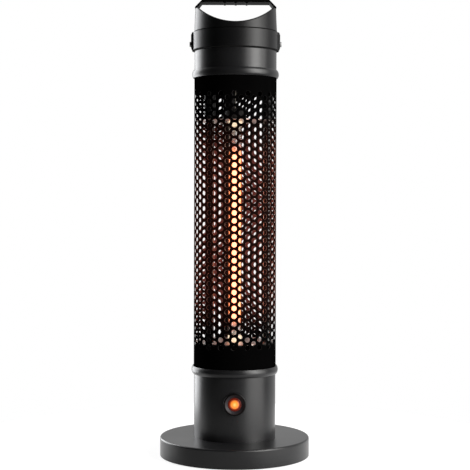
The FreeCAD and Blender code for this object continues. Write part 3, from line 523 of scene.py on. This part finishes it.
def white_heat(place):
    hot = heated_part(place, 0.006)
    return {
        "Base Color": hot.tint((0.1, 0.05, 0.03), (0.3, 0.2, 0.1)),
        "Roughness": place.noise(300.0) * 0.1 + 0.6,
        "Emission Color": hot.tint((0.5, 0.08, 0.03), (1.0, 0.20, 0.14)),
        "Emission Strength": 5.5,
    }


white_paint = ceramic((0.70, 0.66, 0.58), (0.84, 0.80, 0.72), 0.5, 80.0)
# near-black ceramic tones for the sockets
dark_socket_paint = ceramic((0.010, 0.009, 0.008), (0.026, 0.022, 0.019), 0.6, 70.0)
wear(finish("ceramic_white", white_paint), "terminal_block")
wear(finish("ceramic_dark", dark_socket_paint), "lower_socket", "upper_socket")
wear(finish("ceramic_hot", hot_ceramic), "lamp_caps")
wear(finish("quartz", clear_quartz), "quartz_tube")
wear(zinc, "lamp_pins")
group, (turns, radius, wire, height, foot, glow) = node_group("wound_filament", {
    "Turns": "NodeSocketFloat", "Radius": "NodeSocketFloat", "Wire": "NodeSocketFloat",
    "Height": "NodeSocketFloat", "Foot": "NodeSocketVector", "Glow": "NodeSocketMaterial",
})
make = Shade(group)
path = make.node("GeometryNodeCurveSpiral", {
    "Resolution": TURN_POINTS, "Rotations": turns, "Height": height,
    "Start Radius": radius, "End Radius": radius,
})
rim = make.node("GeometryNodeCurvePrimitiveCircle", {"Resolution": WIRE_SIDES, "Radius": wire})
swept = make.node("GeometryNodeCurveToMesh", {"Curve": path, "Profile Curve": rim, "Fill Caps": True})
lifted = make.node("GeometryNodeTransform", {"Geometry": swept, "Translation": foot})
real = make.node("GeometryNodeRealizeInstances", {0: lifted})
glowing = make.node("GeometryNodeSetMaterial", {"Geometry": real, "Material": glow})
make.node("NodeGroupOutput", {0: glowing})
settle("filament_coil", group, {
    "Turns": TURNS, "Radius": coil_high[0] - WIRE, "Wire": WIRE,
    "Height": coil_high[2] - coil_low[2] - 2 * WIRE, "Foot": (0.0, 0.0, coil_low[2] + WIRE),
    "Glow": finish("filament_glow", white_heat),
}, "filament")

# Wiring: plated terminal screws, the moulded cut-out and leads in woven heat-proof sleeves, all
# tucked away under the lower deck and over the upper one.


def woven(place):
    weave = place.noise(900.0, 1.0)
    return {"Base Color": weave.tint((0.45, 0.42, 0.35), (0.66, 0.62, 0.54)), "Roughness": weave * 0.1 + 0.7}


wear(finish("lead_sleeve", woven), "lamp_lead_lower", "lamp_lead_upper", "return_lead", "switch_lead_block",
     "switch_lead_tip", "tip_lead_block")
wear(black_plastic, "thermal_cutout")
wear(zinc, "terminal_screws")

# Upper housing and its bead ring: the same steel tube and coat as below the guard. A painted shadow
# line runs round it where the collar begins.
collar_low, collar_high = [end[2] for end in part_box("collar")]
cap_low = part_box("handle_cap")[0][2]
SEAM_SHADOW = 0.0009


def with_seam_shadow(paint, *heights):
    """The same finish with a painted shadow: a dark line at the heights where another piece meets it."""
    def shaded(place):
        inputs = paint(place)
        z = place.axis(2)
        seam_shadow = 0.0
        for height in heights:
            seam_shadow = seam_shadow + (z.between(height - SEAM_SHADOW * 1.2, height - SEAM_SHADOW * 0.8)
                           - z.between(height + SEAM_SHADOW * 0.8, height + SEAM_SHADOW * 1.2))
        inputs["Base Color"] = seam_shadow.tint(inputs["Base Color"], (0.0004, 0.0004, 0.0004))
        inputs["Roughness"] = inputs["Roughness"] + seam_shadow * 0.6
        return inputs
    return shaded


wear(charcoal, "upper_bead")
# a painted shadow line on the housing just under the collar
wear(finish("crown_coat", with_seam_shadow(coat_paint, collar_low - 0.0004)), "upper_housing")

# Collar, scooped cap and the lugs at the sides: charcoal mouldings, duller than the coated steel,
# held together by one plated screw at each side. A black line is painted along the scoop's rim.
SCOOP_RADIUS = 0.0700
SCOOP_LOW = 0.6128
seam_height = collar_high + 0.0006


def scooped(paint):
    """The same finish with a black line along the scoop's rim."""
    def edged(place):
        inputs = paint(place)
        x = place.axis(0)
        z = place.axis(2) - (SCOOP_LOW + SCOOP_RADIUS)
        rim = 1 - (x * x + z * z).root().between(SCOOP_RADIUS + 0.0010, SCOOP_RADIUS + 0.0018)
        inputs["Base Color"] = rim.tint(inputs["Base Color"], (0.0004, 0.0004, 0.0004))
        inputs["Roughness"] = inputs["Roughness"] + rim * 0.5
        return inputs
    return edged


soft_paint = moulded((0.005, 0.005, 0.0055), (0.009, 0.009, 0.0095), 0.30, 0.32, 700.0)
# painted shadow lines: on the collar at its lower edge and at its seam with the cap, and on the cap at that
# seam
wear(finish("collar_moulding", with_seam_shadow(soft_paint, collar_low + 0.0002, seam_height)), "collar")
wear(finish("cap_moulding", scooped(with_seam_shadow(soft_paint, seam_height))), "handle_cap")
lug_paint = moulded((0.036, 0.036, 0.037), (0.046, 0.046, 0.047), 0.30, 0.5, 700.0)
wear(finish("lug_moulding", lug_paint), "side_lugs")
wear(finish("screw_zinc", plated((0.55, 0.55, 0.56), (0.75, 0.75, 0.75), 0.7, 60.0)), "side_screws")

# Grip: a dead black moulded bar with a fine grain and three finger bumps under it, pegged into the
# two horns of the cap.
grip_paint = moulded((0.0008, 0.0008, 0.0008), (0.0016, 0.0016, 0.0016), 0.45, 0.05, 1200.0)
wear(finish("grip_black", grip_paint), "handle_grip")

# Studio: a round of white floor just under the feet that keeps the shadow, and white all round. Metal
# mirrors it brightest behind and at the right. A wide soft panel stands at the right with a brighter
# core, another behind the left, and nothing in front.
FLOOR_RADIUS = 0.45
AIM_HEIGHT = 0.32
FLOOR_GAP = 0.0002


def ray_kind(start, *names):
    """1 for the named kinds of rays, else 0."""
    outputs = start.node("ShaderNodeLightPath").socket.node.outputs
    total = Shade(start.tree, outputs[names[0]])
    for name in names[1:]:
        total = total + Shade(start.tree, outputs[name])
    return total.math("MINIMUM", total, 1.0)


def white_floor(place):
    cloud = place.noise(3.0)
    lit = place.axis(1).between(-0.10, 0.0) + place.axis(0).between(0.02, 0.16)
    mirrored = ray_kind(place, "Is Glossy Ray") * (lit.math("MINIMUM", lit, 1.0) * 0.8 + 0.2)
    seen = ray_kind(place, "Is Camera Ray", "Is Transmission Ray") + mirrored
    return {
        "Base Color": cloud.tint((0.38, 0.38, 0.38), (0.42, 0.42, 0.42)),
        "Roughness": cloud * 0.05 + 0.6,
        "Specular IOR Level": 0.0,
        "Emission Color": seen.tint((0.0, 0.0, 0.0), (1.0, 1.0, 1.0)),
        "Emission Strength": 0.85,
    }


bpy.ops.mesh.primitive_circle_add(vertices=96, radius=FLOOR_RADIUS, fill_type="NGON")
floor = bpy.context.object
floor.name = "floor"
floor.location.z = -FLOOR_GAP
floor.data.materials.append(finish("floor_white", white_floor))


def panel(name, azimuth, distance, height, size, radiance, colour):
    """An area light that faces the column from an azimuth, 0 in front and growing to the right."""
    data = bpy.data.lights.new(name, "AREA")
    data.shape = "RECTANGLE"
    data.size, data.size_y = size
    data.energy = radiance * math.pi * size[0] * size[1]
    data.color = colour
    lamp = bpy.data.objects.new(name, data)
    lamp.visible_camera = False
    turn = math.radians(azimuth)
    lamp.location = (distance * math.sin(turn), -distance * math.cos(turn), height)
    aim = Vector((0, 0, AIM_HEIGHT)) - lamp.location
    lamp.rotation_euler = aim.to_track_quat("-Z", "Y").to_euler()
    scene.collection.objects.link(lamp)


panel("soft_right", 60.0, 1.3, 0.60, (1.5, 1.7), 2.7, (1.0, 0.99, 0.97))
panel("soft_core", 57.0, 1.25, 0.75, (0.55, 1.4), 4.7, (1.0, 0.99, 0.97))
panel("strip_left", -132.0, 1.4, 0.5, (1.0, 1.6), 4.7, (0.97, 0.98, 1.0))
world = bpy.data.worlds.new("studio")
scene.world = world
world.use_nodes = True
world.node_tree.nodes.clear()
sky = Shade(world.node_tree)
seen = ray_kind(sky, "Is Camera Ray", "Is Transmission Ray")
mirrored = ray_kind(sky, "Is Glossy Ray")
behind = sky.node("ShaderNodeTexCoord", output=0).axis(1).between(0.0, 0.6)
level = seen.math("MAXIMUM", seen, mirrored * behind * 0.55 + behind * 0.1 + 0.02)
backdrop = sky.node("ShaderNodeBackground", {"Color": (1.0, 1.0, 1.0, 1.0), "Strength": level})
sky.node("ShaderNodeOutputWorld", {"Surface": backdrop})

# Camera: a little above the middle of the guard, looking down by one degree, rolled by a sixth of a
# degree, its lens shifted slightly so that the whole heater fills the square picture.
DISTANCE = 1.75
HEIGHT = 0.3637
DOWN = 0.01649
ROLL = -0.0028
LENS_PER_METRE = 53.461
camera = bpy.data.objects.new("camera", bpy.data.cameras.new("camera"))
scene.collection.objects.link(camera)
camera.location = (0.0, -DISTANCE, HEIGHT)
camera.rotation_euler = (math.pi / 2 - DOWN, ROLL, 0.0)
camera.data.sensor_width = 36.0
camera.data.lens = LENS_PER_METRE * DISTANCE
camera.data.shift_x = -0.0003
camera.data.shift_y = -0.0289
camera.data.clip_start = 0.01
scene.camera = camera
